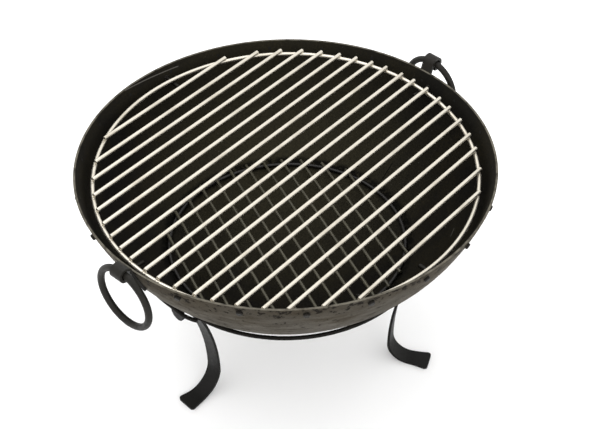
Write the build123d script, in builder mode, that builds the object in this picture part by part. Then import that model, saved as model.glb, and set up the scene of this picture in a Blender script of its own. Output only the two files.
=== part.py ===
from build123d import *
import math
import os

# Fire pit bowl: dished steel bowl on a three-legged hoop stand, with a round
# cooking grill at the rim, a charcoal grate in the bottom and two ring handles.
# Millimetres, +Z up. Origin on the ground under the middle of the bowl.
# Angles round the bowl are degrees from +X, and the front of the bowl faces -Y.

# bowl
rim_radius = 300.0      # outside, at the rim
bowl_depth = 220.0      # outside, rim to lowest point
sheet = 3.0             # steel of the bowl
rim_height = 362.0      # rim above the ground
rim_round = 0.8

# rivets
rivet_count = 22        # places round the rim, two of them taken by the handles
rivet_angle = -85.8     # the place that sets the pattern
rivet_drop = 13.0       # below the rim
rivet_head = 9.0
rivet_head_height = 3.6
rivet_head_round = 1.6
rivet_shank = 5.0

# ring handles
handles = {             # angle, and how far the middle of the eye is above the rim
    "left": (-133.5, 1.0),
    "right": (43.0, 9.0)}
ring_rod = 10.0
ring_radius = 46.0      # to the middle of the rod
eye_radius = 6.8        # inside of the rolled eye
strap = 4.0
strap_width = 20.0
strap_top = 6.0         # where the strap leaves the wall, below the rim
strap_foot = 46.0       # its lower end, below the rim
strap_roll = 280.0      # how far the eye is rolled round
strap_rivets = (16.0, 36.0)

# cooking grill
grill_rod = 6.0
grill_inset = 25.5      # from the rim in to the middle of the ring
grill_drop = 19.5       # ring below the rim
grill_end_front = -1.5  # bar ends past the middle of the ring, along the bar
grill_end_back = 3.0
grill_count = 19
grill_edge = 30.87      # from the ring in to its outermost bars, before their drift
grill_turn = 47.6       # direction of the bars
grill_shift = -2.7      # the grill lies a little to the front
grill_tilt = 2.0        # and a little lower there
grill_drift = (0.6, 2.2, 0.5, -0.8, -1.9, -2.8, -4.0, -5.0, -7.3, -5.1,
               -8.5, -8.0, -6.4, -9.3, -6.7, -4.0, -6.2, -2.7, -3.0)
weld_sink = 0.4         # how far each bar is let into its ring

# pins inside the wall that carry the grill
pin_angles = (-138.0, -69.7, -47.8, 40.0, 129.0)
pin_rod = 6.0
pin_past = 16.0         # how far each pin reaches in past the ring

# charcoal grate
grate_rod = 5.0
grate_radius = 177.0
grate_count = 12
grate_edge_first = 15.0  # from the ring in to the first bar
grate_edge_last = 29.35  # and to the last one
grate_turn = -67.5

# stand
hoop_rod = 6.0
hoop_inset = 92.0       # from the rim in to the middle of the hoop bar
legs = {                # angle, bow in from the hoop, bend above the foot, foot out past the hoop
    "front_left": (-137.8, 51.0, 43.0, 10.0),
    "front_right": (-18.4, 42.5, 34.0, 21.5),
    "rear": (102.0, 46.5, 38.5, 16.0)}
leg_bar = 4.0
leg_width = 26.0
foot_width = 35.0
foot_flare = 38.0       # length over which the foot spreads
foot_corner = 5.0
hook_length = 24.0      # how far the hook hangs down outside the hoop
lap_start = -127.0
lap_end = -149.0

clearance = 0.3         # between parts that only rest on each other
hook_play = 0.02        # between the hoop bar and the hooks folded over it

# places that follow from the sizes
ball_radius = (rim_radius ** 2 + bowl_depth ** 2) / (2 * bowl_depth)
ball_height = rim_height - bowl_depth + ball_radius
inner_radius = ball_radius - sheet
hoop_radius = rim_radius - hoop_inset
seat = hoop_rod / 2 + leg_bar + clearance
hoop_height = ball_height - math.sqrt((ball_radius + seat) ** 2 - hoop_radius ** 2)
grill_radius = rim_radius - grill_inset
grill_base = Plane((0, grill_shift, rim_height - grill_drop)).rotated((grill_tilt, 0, 0))
grill_pitch = 2 * (grill_radius - grill_edge) / (grill_count - 1)
pin_reach = grill_radius - pin_past
grate_pitch = (2 * grate_radius - grate_edge_first - grate_edge_last) / (grate_count - 1)
grate_gap = inner_radius - grate_rod / 2 - clearance
grate_height = ball_height - math.sqrt(grate_gap ** 2 - grate_radius ** 2)
grate_base = Plane((0, 0, grate_height))

os.makedirs("parts", exist_ok=True)


def save(builder, name):
    builder.part.label = name
    export_step(builder.part, f"parts/{name}.step")


def polar(radius, angle):
    return (radius * math.cos(math.radians(angle)), radius * math.sin(math.radians(angle)))


def upright(angle):
    # upright plane through the middle: local x runs outward, local y runs up
    c, s = polar(1.0, angle)
    return Plane(origin=(0, 0, 0), x_dir=(c, s, 0), z_dir=(s, -c, 0))


def rise(radius, drop):
    # angle of the point of that ball that lies so far below the rim
    return math.degrees(math.asin((rim_height - drop - ball_height) / radius))


def on_wall(angle, drop, standoff=0.0):
    # place on the outside of the bowl, local z along the outward normal
    tilt = rise(ball_radius, drop)
    c, s = polar(1.0, angle)
    out, up = polar(1.0, tilt)
    far = ball_radius + standoff
    return Plane(
        origin=(c * out * far, s * out * far, ball_height + up * far),
        x_dir=(-s, c, 0), z_dir=(c * out, s * out, up)).location


# places of the rim rivets, leaving out the two that the handle straps cover
step = 360.0 / rivet_count
rim_places = [rivet_angle + step * i for i in range(rivet_count)]
rim_places = [a for a in rim_places
              if all(abs((a - h + 180) % 360 - 180) > 5 for h, _ in handles.values())]

# bowl shell, with the rivet holes through it
with BuildPart() as bowl_shell:
    with BuildSketch(Plane.XZ):
        with BuildLine():
            outer = CenterArc((0, ball_height), ball_radius, -90, 90 + rise(ball_radius, 0))
            inner = CenterArc((0, ball_height), inner_radius, -90, 90 + rise(inner_radius, 0))
            Line(outer @ 1, inner @ 1)
            Line(outer @ 0, inner @ 0)
        make_face()
    revolve(axis=Axis.Z)
    fillet(bowl_shell.edges().group_by(Axis.Z)[-1], rim_round)
    with Locations(*[on_wall(a, rivet_drop) for a in rim_places]):
        Cylinder(rivet_shank / 2, 4 * sheet, mode=Mode.SUBTRACT)
    for angle, _ in handles.values():
        with Locations(*[on_wall(angle, d) for d in strap_rivets]):
            Cylinder(rivet_shank / 2, 4 * sheet, mode=Mode.SUBTRACT)
save(bowl_shell, "bowl_shell")


def rivet_form(grip):
    # pan-headed rivet: its head stands on z = 0 and the shank goes down through the grip
    with BuildPart() as form:
        Cylinder(rivet_head / 2, rivet_head_height, align=(Align.CENTER, Align.CENTER, Align.MIN))
        fillet(form.edges().group_by(Axis.Z)[-1], rivet_head_round)
        Cylinder(rivet_shank / 2, grip, align=(Align.CENTER, Align.CENTER, Align.MAX))
    return form.part


# rim rivets
with BuildPart() as rim_rivets:
    with Locations(*[on_wall(a, rivet_drop) for a in rim_places]):
        add(rivet_form(sheet))
save(rim_rivets, "rim_rivets")

# handle straps: each lies on the wall, leaves it at the rim and is rolled into an eye
leave = rise(ball_radius, strap_top)
foot_angle = rise(ball_radius, strap_foot)
lean = polar(1.0, leave)
rolled = eye_radius + strap / 2
for side, (angle, eye_height) in handles.items():
    line_length = (eye_height + strap_top - (strap / 2 + rolled) * lean[1]) / lean[0]
    eye_out = (ball_radius + strap / 2 + rolled) * lean[0] - line_length * lean[1]
    eye_up = rim_height + eye_height
    with BuildPart() as handle_strap:
        with BuildSketch(upright(angle)):
            with BuildLine():
                back = CenterArc((0, ball_height), ball_radius, foot_angle, leave - foot_angle)
                face = CenterArc((0, ball_height), ball_radius + strap, foot_angle,
                                 leave - foot_angle)
                big = CenterArc((eye_out, eye_up), eye_radius + strap, 180 + leave, -strap_roll)
                small = CenterArc((eye_out, eye_up), eye_radius, 180 + leave, -strap_roll)
                Line(back @ 1, big @ 0)
                Line(face @ 1, small @ 0)
                Line(big @ 1, small @ 1)
                Line(back @ 0, face @ 0)
            make_face()
        extrude(amount=strap_width / 2, both=True)
        with Locations(*[on_wall(angle, d) for d in strap_rivets]):
            Cylinder(rivet_shank / 2, 4 * strap, mode=Mode.SUBTRACT)
    save(handle_strap, f"handle_strap_{side}")

    with BuildPart() as strap_rivet_pair:
        with Locations(*[on_wall(angle, d, strap) for d in strap_rivets]):
            add(rivet_form(sheet + strap))
    save(strap_rivet_pair, f"handle_strap_rivets_{side}")

    # ring handle, hanging through the eye
    with BuildPart() as ring_handle:
        with BuildSketch(upright(angle)):
            with Locations((eye_out, eye_up)):
                Circle(ring_rod / 2)
        c, s = polar(1.0, angle)
        revolve(axis=Axis((0, 0, eye_up - ring_radius), (c, s, 0)))
    save(ring_handle, f"ring_handle_{side}")

# pins that carry the grill, welded to the inside of the wall
for number, angle in enumerate(pin_angles, 1):
    c, s = polar(1.0, angle)
    ring_height = (rim_height - grill_drop
                   + (grill_radius * s - grill_shift) * math.tan(math.radians(grill_tilt)))
    pin_height = ring_height - (grill_rod + pin_rod) / 2 - clearance
    with BuildPart() as grill_pin:
        with BuildSketch(Plane(origin=(c * pin_reach, s * pin_reach, pin_height),
                               x_dir=(-s, c, 0), z_dir=(c, s, 0))):
            Circle(pin_rod / 2)
        extrude(amount=rim_radius - pin_reach)
        with Locations((0, 0, ball_height)):
            Sphere(inner_radius, mode=Mode.INTERSECT)
        fillet(grill_pin.edges().sort_by_distance((0, 0, pin_height))[0], 1.2)
    save(grill_pin, f"grill_pin_{number}")


def bar_plane(base, turn, offset, height):
    # plane across a bar's middle, that far above its ring, local z along the bar
    c, s = polar(1.0, turn)
    across = Plane(origin=(s * offset, -c * offset, height), x_dir=(s, -c, 0), z_dir=(c, s, 0))
    return Plane(base.location * across.location)


# cooking grill: a round ring with parallel bars let into its top
with BuildPart() as grill_ring:
    with Locations(grill_base.location):
        Torus(grill_radius, grill_rod / 2)
save(grill_ring, "grill_ring")
for i in range(grill_count):
    offset = (i - (grill_count - 1) / 2) * grill_pitch + grill_drift[i]
    half = math.sqrt(grill_radius ** 2 - offset ** 2)
    with BuildPart() as grill_bar:
        with BuildSketch(bar_plane(grill_base, grill_turn, offset, grill_rod - weld_sink).offset(
                -half - grill_end_front)):
            Circle(grill_rod / 2)
        extrude(amount=2 * half + grill_end_front + grill_end_back)
        add(grill_ring.part, mode=Mode.SUBTRACT)
    save(grill_bar, f"grill_bar_{i + 1:02d}")

# charcoal grate, lying in the bottom of the bowl
with BuildPart() as grate_ring:
    with Locations(grate_base.location):
        Torus(grate_radius, grate_rod / 2)
save(grate_ring, "grate_ring")
for i in range(grate_count):
    offset = grate_radius - grate_edge_first - grate_pitch * i
    with BuildPart() as grate_bar:
        with BuildSketch(bar_plane(grate_base, grate_turn, offset, grate_rod - weld_sink)):
            Circle(grate_rod / 2)
        extrude(amount=math.sqrt((grate_radius + grate_rod) ** 2 - offset ** 2), both=True)
        add(grate_ring.part, mode=Mode.SUBTRACT)
    save(grate_bar, f"grate_bar_{i + 1:02d}")

# hoop of the stand
with BuildPart() as stand_hoop:
    with Locations((0, 0, hoop_height)):
        Torus(hoop_radius, hoop_rod / 2)
save(stand_hoop, "stand_hoop")

# legs: flat bar from the foot up inside the hoop, hooked over it and hanging outside
hook = hoop_rod / 2
mid = hook + leg_bar / 2
hook_end = hoop_height - hook_length
for name, (angle, bow, bend, foot_out) in legs.items():
    leg_back = hoop_radius - bow
    foot_heel = leg_back + bend
    foot_tip = hoop_radius + foot_out
    heel_height = leg_bar / 2 + bend
    rise_to_hoop = hoop_height - heel_height
    sweep_radius = (bow ** 2 + rise_to_hoop ** 2 - mid ** 2) / (2 * (bow - mid))
    sweep_centre = (leg_back + sweep_radius, heel_height)
    meet = math.degrees(math.atan2(rise_to_hoop, hoop_radius - sweep_centre[0]))
    with BuildPart() as leg:
        with BuildSketch(upright(angle)):
            with BuildLine():
                for side in (-1, 1):
                    half = side * leg_bar / 2
                    low = leg_bar / 2 - half
                    Line((foot_tip, low), (foot_heel, low))
                    CenterArc((foot_heel, heel_height), bend + half, -90, -90)
                    CenterArc(sweep_centre, sweep_radius + half, 180, meet - 180)
                    CenterArc((hoop_radius, hoop_height), mid + half, meet, -meet)
                    Line((hoop_radius + mid + half, hoop_height),
                         (hoop_radius + mid + half, hook_end))
                Line((foot_tip, 0), (foot_tip, leg_bar))
                Line((hoop_radius + hook, hook_end), (hoop_radius + hook + leg_bar, hook_end))
            make_face()
        extrude(amount=foot_width / 2, both=True)
        # plain width above, foot spreading to its end below
        flare_start = foot_tip - foot_flare
        with BuildSketch(Plane.XY.rotated((0, 0, angle)), mode=Mode.PRIVATE) as foot_plan:
            with BuildLine():
                for side in (-1, 1):
                    half = side * leg_width / 2
                    Line((leg_back - leg_width, half), (flare_start, half))
                    TangentArc((flare_start, half), (foot_tip, side * foot_width / 2), tangent=(1, 0))
                Line((leg_back - leg_width, -leg_width / 2), (leg_back - leg_width, leg_width / 2))
                Line((foot_tip, -foot_width / 2), (foot_tip, foot_width / 2))
            make_face()
            fillet(foot_plan.vertices().sort_by(SortBy.DISTANCE)[-2:], foot_corner)
        with BuildSketch(Plane.XY.rotated((0, 0, angle)), mode=Mode.PRIVATE) as leg_plan:
            with Locations((hoop_radius, 0)):
                Rectangle(2 * (bow + leg_width), leg_width)
        with BuildPart(mode=Mode.PRIVATE) as outline:
            extrude(foot_plan.sketch, amount=heel_height / 2)
            extrude(leg_plan.sketch.moved(Location((0, 0, heel_height / 2))),
                    amount=hoop_height)
        add(outline.part, mode=Mode.INTERSECT)
        # round end of the hook
        end_plane = Plane(origin=(*polar(hoop_radius + hook - 1, angle), hook_end),
                          x_dir=(-polar(1, angle)[1], polar(1, angle)[0], 0),
                          z_dir=(*polar(1, angle), 0))
        with BuildSketch(end_plane):
            with Locations((0, leg_width / 4)):
                Rectangle(leg_width + 2, leg_width / 2)
            with Locations((0, leg_width / 2)):
                Circle(leg_width / 2, mode=Mode.SUBTRACT)
        extrude(amount=leg_bar + 2, mode=Mode.SUBTRACT)
        with Locations((0, 0, hoop_height)):
            Torus(hoop_radius, hoop_rod / 2 + hook_play, mode=Mode.SUBTRACT)
    save(leg, f"leg_{name}")

# loose lapped end of the hoop bar, running outside the front left hook
hook_face = hoop_radius + hook + leg_bar + hoop_rod / 2 + 0.05
lap_angle = legs["front_left"][0]
lap_places = ((lap_start, hoop_radius + hoop_rod), (lap_angle + 7.3, hook_face - 1.0),
              (lap_angle + 3.6, hook_face + 0.4), (lap_angle, hook_face),
              (lap_angle - 3.8, hook_face + 0.8), (lap_end, hook_face + 4.0))
with BuildPart() as hoop_lap:
    with BuildLine() as lap_line:
        Spline(*[(*polar(r, a), hoop_height) for a, r in lap_places])
    with BuildSketch(Plane(origin=lap_line.line @ 0, z_dir=lap_line.line % 0)):
        Circle(hoop_rod / 2)
    sweep()
    fillet(hoop_lap.faces().sort_by_distance(lap_line.line @ 1)[0].edges(), 2.0)
save(hoop_lap, "hoop_lap")
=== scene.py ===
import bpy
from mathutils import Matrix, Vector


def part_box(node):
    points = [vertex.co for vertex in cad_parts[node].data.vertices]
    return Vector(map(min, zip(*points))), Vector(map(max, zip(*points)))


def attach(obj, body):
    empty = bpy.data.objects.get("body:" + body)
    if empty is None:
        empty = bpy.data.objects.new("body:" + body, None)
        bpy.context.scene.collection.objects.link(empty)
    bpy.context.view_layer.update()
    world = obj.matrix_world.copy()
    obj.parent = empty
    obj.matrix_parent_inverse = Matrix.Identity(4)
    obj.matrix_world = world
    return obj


bl_info = {
    "name": "Fire pit bowl finish",
    "version": (1, 0, 0),
    "blender": (4, 5, 0),
    "location": "3D View > Sidebar > Fire pit",
    "description": "Dresses the fire bowl, grill, grate, handles and stand, and sets the studio",
    "category": "Object",
}

import math
import random

import bmesh
import bpy
from mathutils import Matrix, Vector

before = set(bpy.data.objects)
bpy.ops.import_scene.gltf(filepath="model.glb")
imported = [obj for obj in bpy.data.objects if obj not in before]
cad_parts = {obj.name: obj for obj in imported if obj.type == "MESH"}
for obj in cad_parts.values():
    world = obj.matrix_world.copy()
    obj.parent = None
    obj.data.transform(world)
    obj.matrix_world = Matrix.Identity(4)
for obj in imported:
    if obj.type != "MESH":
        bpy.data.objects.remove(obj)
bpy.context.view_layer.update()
MM = 0.001

# thickness of the bowl's wall, and how far in from its outer face the burnt finish of the inside
# ends and the bare finish of the outside begins, millimetres
SHEET = 3.0
BURNT_TO = 2.2
BARE_FROM = 0.8

# middle of the olive-brown patch that the heat left on the back of the wall, and the distances from
# it at which it is full and gone, metres
HEAT_PATCH = (-0.01, 0.16, 0.21)
HEAT_FULL = 0.06
HEAT_GONE = 0.26

# half widths of the painted shadow on the wall beside the grate's ring, full and gone, millimetres
SHADE_BAND_FULL = 3.0
SHADE_BAND_GONE = 7.0

# scratches inside the bowl: both ends in millimetres, width, strength and colour
SCRATCHES = (
    ((-243.0, 170.0, 361.0), (-164.0, 244.5, 353.0), 1.8, 0.55, "wall_pale"),
    ((168.3, 138.9, 234.2), (149.2, 120.9, 211.3), 2.0, 0.9, "scratch_and_shadow_dark"),
    ((241.1, -50.6, 265.9), (233.3, -66.4, 261.1), 1.6, 0.5, "wall_pale"),
)
SCRATCH_FADE = 3.0      # length over which each end fades, millimetres

# a weld lump between bar and ring: its width and height against its length, and how far from the
# crossing it sits, aside and up, against the rod's thickness
WELD_WIDTH = 0.42
WELD_HEIGHT = 0.34
WELD_ASIDE = 0.45
WELD_UP = 0.5

# the weld lumps round a pin: their number, and against the weld's width their distance from the
# pin's middle, how far they sink into the wall, their length and their thickness
PIN_LUMPS = 6
PIN_LUMP_OUT = 0.36
PIN_LUMP_SINK = 0.08
PIN_LUMP_LENGTH = 0.55
PIN_LUMP_THICK = 0.32

# how much the weld lumps differ in size, and how rough each one is
LUMP_SPREAD = 0.15
LUMP_ROUGH = 0.06

# soft lamps: name, place, width and share of the lamp power; and what they are aimed at, metres
LAMPS = (
    ("overhead", (-0.6, 0.5, 3.0), 2.2, 1.0),
    ("front", (0.9, -2.6, 1.6), 1.6, 0.45),
)
LAMP_AIM = (0.0, 0.0, 0.2)
RIM_MIDDLE = (0.0, 0.0, 0.362)


def linear(code):
    """An sRGB hex colour as a linear colour with full alpha."""
    parts = [int(code[i:i + 2], 16) / 255 for i in (1, 3, 5)]
    parts = [p / 12.92 if p <= 0.04045 else ((p + 0.055) / 1.055) ** 2.4 for p in parts]
    return (*parts, 1.0)


def per_mm(size):
    """The noise scale that gives features of this size in millimetres."""
    return 1.0 / (size * MM)


def feed(tree, node, inputs):
    """Sets a node's inputs, given in socket order or by name. Each takes a value, another node's
    output, or another node, which stands for the first output that it has in use."""
    pairs = inputs.items() if isinstance(inputs, dict) else enumerate(inputs)
    for socket, value in pairs:
        if isinstance(value, bpy.types.Node):
            value = next(output for output in value.outputs if output.enabled)
        if isinstance(value, bpy.types.NodeSocket):
            tree.links.new(value, node.inputs[socket])
        else:
            node.inputs[socket].default_value = value


def add(tree, kind, inputs=(), **settings):
    """Adds one shader node with its settings and inputs."""
    made = tree.nodes.new("ShaderNode" + kind)
    for name, value in settings.items():
        setattr(made, name, value)
    feed(tree, made, inputs)
    return made


def blank(name):
    """A new material with its tree, shader and object coordinates."""
    material = bpy.data.materials.new(name)
    material.use_nodes = True
    tree = material.node_tree
    tree.nodes.clear()
    shader = add(tree, "BsdfPrincipled")
    add(tree, "OutputMaterial", {"Surface": shader})
    return material, tree, shader, add(tree, "TexCoord").outputs["Object"]


def layered(tree, colour, layers):
    """A colour with others laid over it in turn, each by its share from 0 to 1."""
    for share, over in layers:
        colour = add(tree, "Mix", {0: share, 6: colour, 7: over}, data_type="RGBA")
    return colour


def outside_share(tree, place, look):
    """0 at the inner face of the bowl's wall and inward of it, 1 at its outer face and beyond."""
    reach = add(tree, "VectorMath", (place, (0.0, 0.0, look.ball_height)), operation="DISTANCE")
    return add(tree, "MapRange", (
        reach, look.ball_radius - BURNT_TO * MM, look.ball_radius - BARE_FROM * MM))


def scored(tree, place, look, start, end, width):
    """1 on a scratch that runs over the bowl's wall between two points, in millimetres, else 0."""
    ball = Vector((0.0, 0.0, look.ball_height))
    first, last = (Vector(point) * MM - ball for point in (start, end))
    line = (last - first).normalized()
    arm = add(tree, "VectorMath", (place, ball), operation="SUBTRACT")
    off, run = (
        add(tree, "VectorMath", (arm, way), operation="DOT_PRODUCT")
        for way in (first.cross(last).normalized(), line))
    aside = add(tree, "Math", (off,), operation="ABSOLUTE")
    near = add(tree, "MapRange", (aside, width / 4 * MM, width / 2 * MM, 1.0, 0.0))
    low, high = (point.dot(line) for point in (first, last))
    begun = add(tree, "MapRange", (run, low, low + SCRATCH_FADE * MM))
    ended = add(tree, "MapRange", (run, high - SCRATCH_FADE * MM, high, 1.0, 0.0))
    within = add(tree, "Math", (begun, ended), operation="MULTIPLY")
    return add(tree, "Math", (within, near), operation="MULTIPLY")


def spun_steel(look):
    """Hot-worked sheet steel: dull bare wall outside with scale pits and long pale streaks, burnt
    black and matt inside, and a thin painted highlight along the rim, partly worn bare steel."""
    material, tree, shader, place = blank("spun_sheet_steel")
    outside = outside_share(tree, place, look)
    height = add(tree, "SeparateXYZ", (place,)).outputs["Z"]
    along_wall = add(tree, "Mapping", {"Vector": place, "Scale": (0.35, 0.35, 1.4)})

    def below(drop):
        """The height that lies so many millimetres below the rim."""
        return look.rim_height - drop * MM

    # each pattern's feature size in millimetres, detail and coarseness
    patches, marks, pits, streaks, grain, specks, wear = (
        add(tree, "TexNoise", {
            "Vector": at, "Scale": per_mm(size), "Detail": detail, "Roughness": coarse})
        for at, size, detail, coarse in (
            (place, 70.0, 3.0, 0.55),       # patches a hand wide
            (place, 9.0, 6.0, 0.62),        # marks of mill scale
            (place, 3.2, 3.0, 0.6),         # pits, drawn coarser than real ones so that they show
            (along_wall, 14.0, 5.0, 0.65),  # pale streaks that run round the wall
            (place, 3.0, 4.0, 0.75),        # sooty grain
            (place, 2.4, 2.0, 0.55),        # pale specks of ash
            (place, 14.0, 4.0, 0.55)))      # wear that breaks up the painted highlight along the rim

    # outside: the pale streaks grow towards the bottom, and the scale marks gather under the rim
    pale_streaks = add(tree, "Math", (
        add(tree, "MapRange", (streaks, 0.36, 0.68)),
        add(tree, "MapRange", (height, below(55), below(5), 0.75, 0.12))), operation="MULTIPLY")
    scale = add(tree, "Math", (
        marks,
        add(tree, "MapRange", (height, below(34), below(4), 0.0, 0.09))), operation="ADD")
    wall = layered(tree, look.wall, (
        (add(tree, "MapRange", (patches, 0.35, 0.65)), look.wall_brown),
        (pale_streaks, look.wall_pale),
        (add(tree, "MapRange", (scale, 0.60, 0.65, 0.0, 0.85)), look.scale_dark),
        (add(tree, "MapRange", (pits, 0.66, 0.70)), look.scale_dark)))

    # inside: brown mottle, the patch that the heat left, a painted shadow beside the grate's ring,
    # specks of ash and scratches
    mottle = add(tree, "Math", (
        add(tree, "MapRange", (patches, 0.38, 0.62)),
        add(tree, "MapRange", (grain, 0.35, 0.65))), operation="MULTIPLY")
    from_heat = add(tree, "VectorMath", (place, HEAT_PATCH), operation="DISTANCE")
    heated = add(tree, "Math", (
        add(tree, "MapRange", (from_heat, HEAT_FULL, HEAT_GONE, 1.0, 0.0)),
        add(tree, "MapRange", (grain, 0.35, 0.65, 0.45, 1.0))), operation="MULTIPLY")
    # painted shadow: a dark band on the inside of the wall at the height of the grate's ring,
    # broken up by the scale marks
    above_grate = add(tree, "Math", (height, middle("grate_ring").z), operation="SUBTRACT")
    from_grate = add(tree, "Math", (above_grate,), operation="ABSOLUTE")
    grate_shadow = add(tree, "Math", (
        add(tree, "MapRange", (from_grate, SHADE_BAND_FULL * MM, SHADE_BAND_GONE * MM, 0.95, 0.0)),
        add(tree, "MapRange", (marks, 0.34, 0.50))), operation="MULTIPLY")
    soot = layered(tree, look.burnt, (
        (mottle, look.burnt_brown),
        (heated, look.burnt_olive),
        (grate_shadow, look.scratch_and_shadow_dark),
        (add(tree, "MapRange", (specks, 0.72, 0.78, 0.0, 0.45)), look.wall_pale)))
    for start, end, width, strength, shade in SCRATCHES:
        line = scored(tree, place, look, start, end, width)
        share = add(tree, "MapRange", (line, 0.0, 1.0, 0.0, strength))
        soot = layered(tree, soot, ((share, getattr(look, shade)),))

    # painted highlight: a thin lighter line just under the top of the rim, partly worn bare steel,
    # broken up by the wear pattern
    rim_highlight = add(tree, "Math", (
        add(tree, "MapRange", (height, below(1.1), below(0.4))),
        add(tree, "MapRange", (wear, 0.34, 0.58, 0.15, 0.85))), operation="MULTIPLY")
    dull = add(tree, "MapRange", (marks, 0.3, 0.7, 0.38, 0.56))
    relief = add(tree, "Math", (
        marks,
        add(tree, "MapRange", (pits, 0.55, 0.75, 0.0, -0.6))), operation="ADD")
    feed(tree, shader, {
        "Base Color": layered(tree, soot, ((outside, wall), (rim_highlight, look.rim_highlight_wear))),
        "Metallic": add(tree, "MapRange", (outside, 0.0, 1.0, 0.0, 0.75)),
        "Specular IOR Level": 0.10,
        "Specular Tint": look.edge_shine,
        "Roughness": add(tree, "Mix", {0: outside, 2: 0.6, 3: dull}, data_type="FLOAT"),
        "Normal": add(tree, "Bump", {"Height": relief, "Distance": 0.5 * MM, "Strength": 0.55})})
    return material


def rod_steel(name, colour, shade, metal, rough):
    """Drawn round bar: small differences in shine along it, and faint stains in the shade."""
    material, tree, shader, place = blank(name)
    stain, grain = (
        add(tree, "TexNoise", {
            "Vector": place, "Scale": per_mm(size), "Detail": detail, "Roughness": coarse})
        for size, detail, coarse in ((38.0, 3.0, 0.5), (6.0, 4.0, 0.6)))
    stained = add(tree, "MapRange", (stain, 0.50, 0.72, 0.0, 0.5))
    feed(tree, shader, {
        "Base Color": layered(tree, colour, ((stained, shade),)),
        "Metallic": metal,
        "Roughness": add(tree, "MapRange", (grain, 0.3, 0.7, rough - 0.03, rough + 0.04))})
    return material


def forged_steel(name, base, brown, dark, metal, rough, dent, shine, fire=None):
    """Forged bar: broad hammer flats, brown heat colour in patches and dark scale in small marks.
    The dents are in millimetres. With the bowl's look as fire, what shows inside the bowl is burnt
    black."""
    material, tree, shader, place = blank(name)
    heat, scale = (
        add(tree, "TexNoise", {
            "Vector": place, "Scale": per_mm(size), "Detail": detail, "Roughness": coarse})
        for size, detail, coarse in ((26.0, 4.0, 0.55), (4.5, 5.0, 0.62)))
    colour = layered(tree, base, (
        (add(tree, "MapRange", (heat, 0.36, 0.66)), brown),
        (add(tree, "MapRange", (scale, 0.56, 0.68, 0.0, 0.8)), dark)))
    if fire:
        colour = layered(tree, fire.burnt, ((outside_share(tree, place, fire), colour),))
    flats = add(tree, "TexVoronoi", {"Vector": place, "Scale": per_mm(9.0)}, feature="SMOOTH_F1")
    relief = add(tree, "Math", (
        flats,
        add(tree, "MapRange", (scale, 0.3, 0.7, 0.0, 0.35))), operation="ADD")
    feed(tree, shader, {
        "Base Color": colour,
        "Metallic": metal,
        "Specular IOR Level": shine,
        "Roughness": add(tree, "MapRange", (scale, 0.3, 0.7, rough - 0.08, rough + 0.12)),
        "Normal": add(tree, "Bump", {"Height": relief, "Distance": dent * MM, "Strength": 0.5})})
    return material


def pale_floor(look):
    """Painted board, matt and nearly white, with broad patches that are hardly duller."""
    material, tree, shader, place = blank("painted_floor")
    tone = add(tree, "TexNoise", {
        "Vector": place, "Scale": per_mm(400.0), "Detail": 2.0, "Roughness": 0.55})
    feed(tree, shader, {
        "Base Color": layered(tree, look.floor, ((tone, look.floor_dull),)),
        "Roughness": 0.85})
    return material


def dress(names, material):
    """Gives CAD nodes this material."""
    for name in names:
        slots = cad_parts[name].data.materials
        if slots:
            for i in range(len(slots)):
                slots[i] = material
        else:
            slots.append(material)


def nodes_named(start):
    """The CAD nodes whose names start so, in order."""
    return sorted(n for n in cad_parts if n.startswith(start))


def middle(name):
    """The middle of a CAD node's box."""
    low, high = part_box(name)
    return (low + high) / 2


def piece(name, shape, material):
    """A new object at the origin from a finished bmesh."""
    bmesh.ops.recalc_face_normals(shape, faces=shape.faces)
    mesh = bpy.data.meshes.new(name)
    shape.to_mesh(mesh)
    shape.free()
    for face in mesh.polygons:
        face.use_smooth = True
    mesh.materials.append(material)
    made = bpy.data.objects.new(name, mesh)
    bpy.context.scene.collection.objects.link(made)
    return made


def bead(shape, at, along, length, width, height, rng):
    """A small lump of weld, longer along the seam, in a slightly different size each time."""
    size = [v * rng.uniform(1 - LUMP_SPREAD, 1 + LUMP_SPREAD) / 2 for v in (length, width, height)]
    turn = along.to_track_quat("X", "Z").to_matrix().to_4x4()
    ball = bmesh.ops.create_icosphere(shape, subdivisions=2, radius=1.0)
    for vertex in ball["verts"]:
        vertex.co *= 1.0 + rng.uniform(-LUMP_ROUGH, LUMP_ROUGH)
    bmesh.ops.transform(
        shape, verts=ball["verts"],
        matrix=Matrix.Translation(at) @ turn @ Matrix.Diagonal((*size, 1.0)))


def crossings(ring, bars, rod):
    """Where each bar lies over the middle of its ring, with the directions of the ring and the bar.
    The ring may lie a little lower at the front."""
    low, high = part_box(ring)
    centre = (low + high) / 2
    radius = (high.x - low.x - rod) / 2
    slope = (high.z - low.z - rod) / (high.y - low.y - rod)
    across = middle(bars[-1]) - middle(bars[0])
    across.z = 0.0
    across.normalize()
    along = Vector((-across.y, across.x, 0.0))
    for name in bars:
        foot = across * across.dot(middle(name) - centre)
        half = math.sqrt(radius ** 2 - foot.length_squared)
        for side in (-1, 1):
            out = foot + along * half * side
            around = Vector((-out.y, out.x, 0.0)).normalized()
            out.z = slope * out.y
            yield centre + out, around, along


def welds(name, ring, bars, body, material, rod, size, seed):
    """Weld lumps in both corners between each bar and the top of its ring."""
    rng = random.Random(seed)
    shape = bmesh.new()
    for at, around, along in crossings(ring, bars, rod):
        for side in (-1, 1):
            spot = at + around * side * rod * WELD_ASIDE
            spot.z += rod * WELD_UP
            bead(shape, spot, along, size, size * WELD_WIDTH, size * WELD_HEIGHT, rng)
    made = piece(name, shape, material)
    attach(made, body)
    return made


def colour_setting(name, description, code):
    """A colour for the sidebar, from its hex value."""
    return bpy.props.FloatVectorProperty(
        name=name, description=description, subtype="COLOR", size=4, default=linear(code))


def length_setting(name, description, size):
    """A length for the sidebar, in metres."""
    return bpy.props.FloatProperty(
        name=name, description=description, default=size, unit="LENGTH", precision=4)


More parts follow.
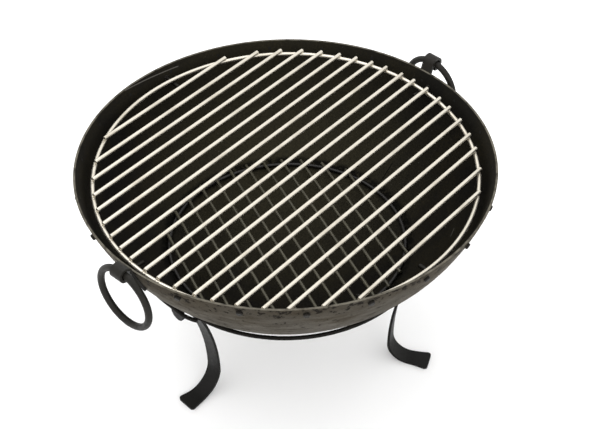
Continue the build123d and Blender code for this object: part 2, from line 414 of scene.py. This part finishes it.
class FirePitSteel(bpy.types.PropertyGroup):
    """Places on the bowl that its finish follows, and the colours of the steel."""
    ball_height: length_setting(
        "Ball height", "Height of the middle of the ball that the bowl is part of", 456.545 * MM)
    ball_radius: length_setting(
        "Ball radius", "Outside radius of the bowl's wall", 314.545 * MM)
    rim_height: length_setting(
        "Rim height", "Top of the rim above the ground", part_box("bowl_shell")[1].z)
    wall: colour_setting("Wall", "Bare steel of the outside", "#484540")
    wall_brown: colour_setting("Wall, brown", "Heat-browned patches of the outside", "#3f3a32")
    wall_pale: colour_setting("Wall, pale streaks", "Pale streaks of the outside", "#716e68")
    edge_shine: colour_setting("Edge shine", "Shine of the wall where it turns away", "#a39f98")
    # painted highlight along the rim, partly worn bare steel
    rim_highlight_wear: colour_setting("Rim", "Painted highlight along the rim, partly worn steel", "#68645a")
    scale_dark: colour_setting("Scale", "Dark mill scale in pits and marks", "#1a1815")
    burnt: colour_setting("Burnt inside", "Burnt black of the inside", "#131210")
    burnt_brown: colour_setting("Burnt inside, brown", "Warmer patches of the inside", "#201d14")
    burnt_olive: colour_setting(
        "Burnt inside, olive", "Heat colour on the back of the inside", "#312e22")
    # dark of the deep scratches, also used for the painted shadow on the wall beside the grate's
    # ring
    scratch_and_shadow_dark: colour_setting("Dark scratch and shadow", "Deep dark scratches, and painted shadow beside the grate's ring", "#040403")
    rivet_scale: colour_setting("Rivets, scale", "Scale in the marks of the rivets", "#1d1b18")
    forged: colour_setting("Forged", "Forged bar of handles and straps", "#191814")
    forged_brown: colour_setting("Forged, brown", "Heat colour on forged bar", "#191612")
    forged_scale: colour_setting("Forged, scale", "Scale in the marks of forged bar", "#0e0d0b")
    stand: colour_setting("Stand", "Dark flat bar of the legs and round bar of the hoop", "#0c0b09")
    leg_scale: colour_setting("Legs, scale", "Scale in the marks of the legs", "#060605")
    hoop_scale: colour_setting("Hoop, scale", "Scale in the marks of the hoop", "#050504")
    bright: colour_setting("Grill", "Bright plated rod of the grill", "#ccc6b9")
    bright_stain: colour_setting("Grill, stained", "Faint stains on the grill", "#a29a89")
    grate: colour_setting("Grate", "Dark rod of the charcoal grate", "#4c493c")
    # darker patches on the grate's ring
    grate_ring_dark: colour_setting("Grate ring, darker", "Darker patches on the ring of the grate", "#0a0908")


class FirePitWelds(bpy.types.PropertyGroup):
    """Sizes of the welds and of the rod that they join."""
    grill_rod: length_setting("Grill rod", "Thickness of the grill's rod", 6.0 * MM)
    grate_rod: length_setting("Grate rod", "Thickness of the grate's rod", 5.0 * MM)
    grill: length_setting("Grill weld", "Length of a weld lump on the grill", 5.0 * MM)
    grate: length_setting("Grate weld", "Length of a weld lump on the grate", 4.0 * MM)
    pin: length_setting("Pin weld", "Width of the weld round each pin", 9.0 * MM)


class FirePitStudio(bpy.types.PropertyGroup):
    """Floor, lights and camera."""
    floor: colour_setting("Floor", "Pale floor", "#fdfdfd")
    floor_dull: colour_setting("Floor, duller", "Slightly duller patches of the floor", "#f9f9f9")
    floor_size: bpy.props.FloatProperty(
        name="Floor size", description="Width of the floor", default=14.0, unit="LENGTH")
    sky: bpy.props.FloatProperty(
        name="Surround", description="Strength of the white surround", default=1.45, min=0.0)
    lamp: bpy.props.FloatProperty(
        name="Lamp", description="Power of the overhead soft lamp", default=30.0, min=0.0,
        unit="POWER")
    camera_at: bpy.props.FloatVectorProperty(
        name="Camera place", description="Where the camera stands", size=3, subtype="TRANSLATION",
        default=(0.0, -1.3794, 1.4870))
    camera_turn: bpy.props.FloatVectorProperty(
        name="Camera turn", description="Sideways turn, tilt and roll away from the rim's middle",
        size=3, subtype="EULER",
        default=(math.radians(0.6), math.radians(-2.62), math.radians(-1.33)))
    lens: bpy.props.FloatProperty(
        name="Lens", description="Focal length on a 36 mm wide sensor", default=75.15,
        unit="CAMERA")


class FIREPIT_OT_bowl(bpy.types.Operator):
    """Finish the bowl and its rivets"""
    bl_idname = "firepit.bowl"
    bl_label = "Bowl"

    def execute(self, context):
        look = context.scene.firepit_steel
        dress(["bowl_shell"], spun_steel(look))
        dress(["rim_rivets"], forged_steel(
            "rivet_steel", look.forged_brown, look.scale_dark, look.rivet_scale,
            metal=0.3, rough=0.5, dent=0.3, shine=0.2, fire=look))
        return {"FINISHED"}


class FIREPIT_OT_handles(bpy.types.Operator):
    """Finish the ring handles, their straps and rivets"""
    bl_idname = "firepit.handles"
    bl_label = "Ring handles"

    def execute(self, context):
        look = context.scene.firepit_steel
        dress(nodes_named("ring_handle"), forged_steel(
            "forged_ring_steel", look.forged, look.forged_brown, look.forged_scale,
            metal=0.1, rough=0.48, dent=0.5, shine=0.18))
        dress(nodes_named("handle_strap"), forged_steel(
            "forged_strap_steel", look.forged, look.forged_brown, look.forged_scale,
            metal=0.1, rough=0.48, dent=0.4, shine=0.18, fire=look))
        return {"FINISHED"}


class FIREPIT_OT_pins(bpy.types.Operator):
    """Finish the pins inside the wall and weld them on"""
    bl_idname = "firepit.pins"
    bl_label = "Grill pins"

    def execute(self, context):
        look = context.scene.firepit_steel
        steel = forged_steel(
            "pin_steel", look.forged, look.forged_brown, look.scale_dark,
            metal=0.6, rough=0.45, dent=0.3, shine=0.3)
        pins = nodes_named("grill_pin")
        dress(pins, steel)
        rng = random.Random(5)
        shape = bmesh.new()
        size = context.scene.firepit_welds.pin
        inner_radius = look.ball_radius - SHEET * MM
        for name in pins:
            centre = middle(name)
            out = Vector((centre.x, centre.y, 0.0)).normalized()
            root = Vector((0.0, 0.0, centre.z)) + out * math.sqrt(
                inner_radius ** 2 - (look.ball_height - centre.z) ** 2)
            facing = (root - Vector((0.0, 0.0, look.ball_height))).normalized()
            around = facing.orthogonal().normalized()
            for step in range(PIN_LUMPS):
                turned = Matrix.Rotation(math.tau * step / PIN_LUMPS, 3, facing) @ around
                bead(shape, root + turned * size * PIN_LUMP_OUT - facing * size * PIN_LUMP_SINK,
                     facing.cross(turned), size * PIN_LUMP_LENGTH, size * PIN_LUMP_THICK,
                     size * PIN_LUMP_THICK, rng)
        made = piece("pin_welds", shape, steel)
        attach(made, "bowl")
        return {"FINISHED"}


class FIREPIT_OT_grill(bpy.types.Operator):
    """Finish the cooking grill and weld its bars to the ring"""
    bl_idname = "firepit.grill"
    bl_label = "Cooking grill"

    def execute(self, context):
        look = context.scene.firepit_steel
        steel = rod_steel(
            "bright_plated_rod", look.bright, look.bright_stain, metal=0.85, rough=0.32)
        bars = nodes_named("grill_bar")
        dress(bars + ["grill_ring"], steel)
        sizes = context.scene.firepit_welds
        made = welds(
            "grill_welds", "grill_ring", bars, "grill", steel,
            sizes.grill_rod, sizes.grill, seed=11)
        return {"FINISHED"}


class FIREPIT_OT_grate(bpy.types.Operator):
    """Finish the charcoal grate and weld its bars to the ring"""
    bl_idname = "firepit.grate"
    bl_label = "Charcoal grate"

    def execute(self, context):
        look = context.scene.firepit_steel
        steel = rod_steel("dark_drawn_rod", look.grate, look.scale_dark, metal=0.35, rough=0.38)
        bars = nodes_named("grate_bar")
        dress(bars, steel)
        # the grate's ring: nearly black rod with darker patches
        dress(["grate_ring"], rod_steel(
            "dark_ring_rod", look.scale_dark, look.grate_ring_dark, metal=0.2, rough=0.5))
        sizes = context.scene.firepit_welds
        made = welds(
            "grate_welds", "grate_ring", bars, "grate", steel,
            sizes.grate_rod, sizes.grate, seed=12)
        return {"FINISHED"}


class FIREPIT_OT_stand(bpy.types.Operator):
    """Finish the hoop and the legs of the stand"""
    bl_idname = "firepit.stand"
    bl_label = "Stand"

    def execute(self, context):
        look = context.scene.firepit_steel
        dress(nodes_named("leg_"), forged_steel(
            "leg_flat_bar", look.stand, look.stand, look.leg_scale,
            metal=0.0, rough=0.48, dent=0.12, shine=0.14))
        dress(["stand_hoop", "hoop_lap"], forged_steel(
            "hoop_round_bar", look.stand, look.scale_dark, look.hoop_scale,
            metal=0.0, rough=0.50, dent=0.12, shine=0.08))
        return {"FINISHED"}


class FIREPIT_OT_studio(bpy.types.Operator):
    """Set the floor, the soft lights and the camera"""
    bl_idname = "firepit.studio"
    bl_label = "Studio"

    def execute(self, context):
        stage = context.scene.firepit_studio
        shape = bmesh.new()
        bmesh.ops.create_grid(shape, x_segments=1, y_segments=1, size=stage.floor_size / 2)
        piece("floor", shape, pale_floor(stage))

        world = bpy.data.worlds.new("white_surround")
        world.use_nodes = True
        world.node_tree.nodes.clear()
        white = add(world.node_tree, "Background", {
            "Color": (1.0, 1.0, 1.0, 1.0), "Strength": stage.sky})
        add(world.node_tree, "OutputWorld", {"Surface": white})
        context.scene.world = world
        context.scene.view_settings.view_transform = "Standard"

        for name, at, size, share in LAMPS:
            lamp = bpy.data.lights.new(name, "AREA")
            lamp.energy = stage.lamp * share
            lamp.size = size
            holder = bpy.data.objects.new(name, lamp)
            turn = (Vector(LAMP_AIM) - Vector(at)).to_track_quat("-Z", "Y")
            holder.matrix_world = Matrix.Translation(at) @ turn.to_matrix().to_4x4()
            context.scene.collection.objects.link(holder)

        lens = bpy.data.cameras.new("camera")
        lens.sensor_width = 36.0
        lens.lens = stage.lens
        at = Vector(stage.camera_at)
        ahead = (Vector(RIM_MIDDLE) - at).normalized()
        right = ahead.cross(Vector((0.0, 0.0, 1.0))).normalized()
        up = right.cross(ahead)
        side, tilt, roll = stage.camera_turn
        ahead = (ahead + right * math.tan(side) + up * math.tan(tilt)).normalized()
        right = ahead.cross(up).normalized()
        up = right.cross(ahead)
        across = right * math.cos(roll) + up * math.sin(roll)
        upward = up * math.cos(roll) - right * math.sin(roll)
        turn = Matrix((across, upward, -ahead)).transposed()
        camera = bpy.data.objects.new("camera", lens)
        camera.matrix_world = Matrix.Translation(at) @ turn.to_4x4()
        context.scene.collection.objects.link(camera)
        context.scene.camera = camera
        return {"FINISHED"}


STEPS = (FIREPIT_OT_studio, FIREPIT_OT_bowl, FIREPIT_OT_handles, FIREPIT_OT_pins, FIREPIT_OT_grill,
         FIREPIT_OT_grate, FIREPIT_OT_stand)
GROUPS = {
    "firepit_steel": FirePitSteel, "firepit_welds": FirePitWelds, "firepit_studio": FirePitStudio}


class FIREPIT_PT_panel(bpy.types.Panel):
    """Lists the pieces of the fire pit"""
    bl_label = "Fire pit"
    bl_idname = "FIREPIT_PT_panel"
    bl_space_type = "VIEW_3D"
    bl_region_type = "UI"
    bl_category = "Fire pit"

    def draw(self, context):
        for step in STEPS:
            self.layout.operator(step.bl_idname)
        for group in GROUPS:
            values = getattr(context.scene, group)
            box = self.layout.box()
            for name in values.__annotations__:
                box.prop(values, name)


def register():
    for kind in (*GROUPS.values(), *STEPS, FIREPIT_PT_panel):
        bpy.utils.register_class(kind)
    for name, kind in GROUPS.items():
        setattr(bpy.types.Scene, name, bpy.props.PointerProperty(type=kind))


def unregister():
    for name in GROUPS:
        delattr(bpy.types.Scene, name)
    for kind in reversed((*GROUPS.values(), *STEPS, FIREPIT_PT_panel)):
        bpy.utils.unregister_class(kind)


def main():
    register()
    for step in STEPS:
        group, name = step.bl_idname.split(".")
        getattr(getattr(bpy.ops, group), name)()


if __name__ == "__main__":
    main()
